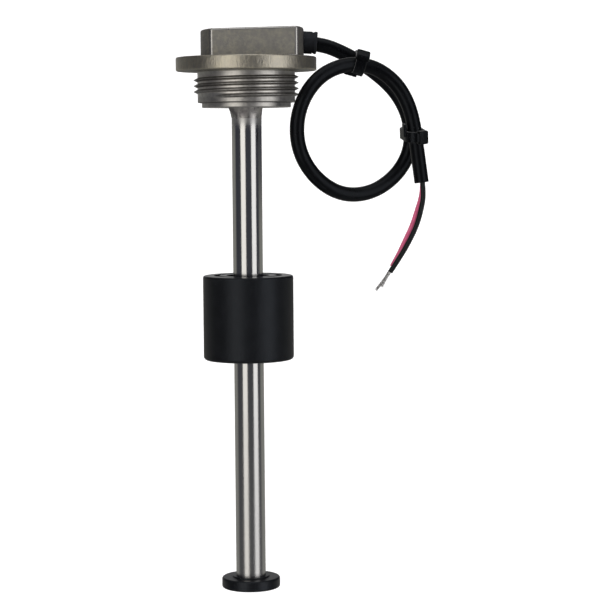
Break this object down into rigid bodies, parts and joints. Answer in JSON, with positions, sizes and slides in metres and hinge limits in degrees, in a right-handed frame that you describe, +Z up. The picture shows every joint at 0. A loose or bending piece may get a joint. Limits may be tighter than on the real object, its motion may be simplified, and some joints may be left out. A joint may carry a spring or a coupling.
{
  "type": "tank level sender",
  "caption": "Reed-switch tank level sender: threaded cast head with flange and spanner boss, stem tube, sliding float, end stop and a short looped cable.",
  "frame": {"origin": "on the stem axis, in the plane of the flange's sealing face", "axes": "+Z up along the stem towards the head, +X towards the cable's exit, -Y towards the front spanner flat"},
  "size_m": [0.1007, 0.0562, 0.2259],
  "materials": {
    "cast_steel": "bead-blasted cast stainless, turned on the thread",
    "plate_steel": "turned stainless, matt",
    "weld_steel": "rough weld bead",
    "tube_steel": "polished stainless tube with fine draw lines",
    "turned_steel": "turned stainless",
    "float_rubber": "satin black moulded float",
    "stop_plastic": "satin black moulding",
    "magnet_ferrite": "sintered dark grey",
    "board_laminate": "green laminate",
    "switch_glass": "pale green glass",
    "resistor_ceramic": "black ceramic",
    "potting_resin": "black cast resin",
    "bush_rubber": "black rubber",
    "cable_black": "black soft jacket, low sheen",
    "tie_nylon": "black nylon",
    "wire_red": "red insulation",
    "wire_black": "black insulation",
    "tinned_copper": "tinned copper strands"
  },
  "bodies": {
    "sender": {"head_casting": "cast_steel", "stem_plate": "plate_steel", "stem_weld": "weld_steel", "stem_tube": "tube_steel", "tube_end_plug": "turned_steel", "end_stop_clip": "turned_steel", "end_stop": "stop_plastic", "reed_board": "board_laminate", "reed_switches": "switch_glass", "board_resistors": "resistor_ceramic", "head_potting": "potting_resin", "cable_bush": "bush_rubber", "cable_jacket": "cable_black", "upper_cable_tie": "tie_nylon", "lower_cable_tie": "tie_nylon", "red_core": "wire_red", "red_inner_lead": "wire_red", "black_core": "wire_black", "black_inner_lead": "wire_black", "red_conductor": "tinned_copper", "black_conductor": "tinned_copper"},
    "float": {"float_body": "float_rubber", "float_magnet": "magnet_ferrite"}
  },
  "joints": [
    {"name": "float_slide", "type": "slide", "parent": "sender", "child": "float", "axis": [0, 0, 1], "range_m": [-0.0887, 0.0671]}
  ]
}
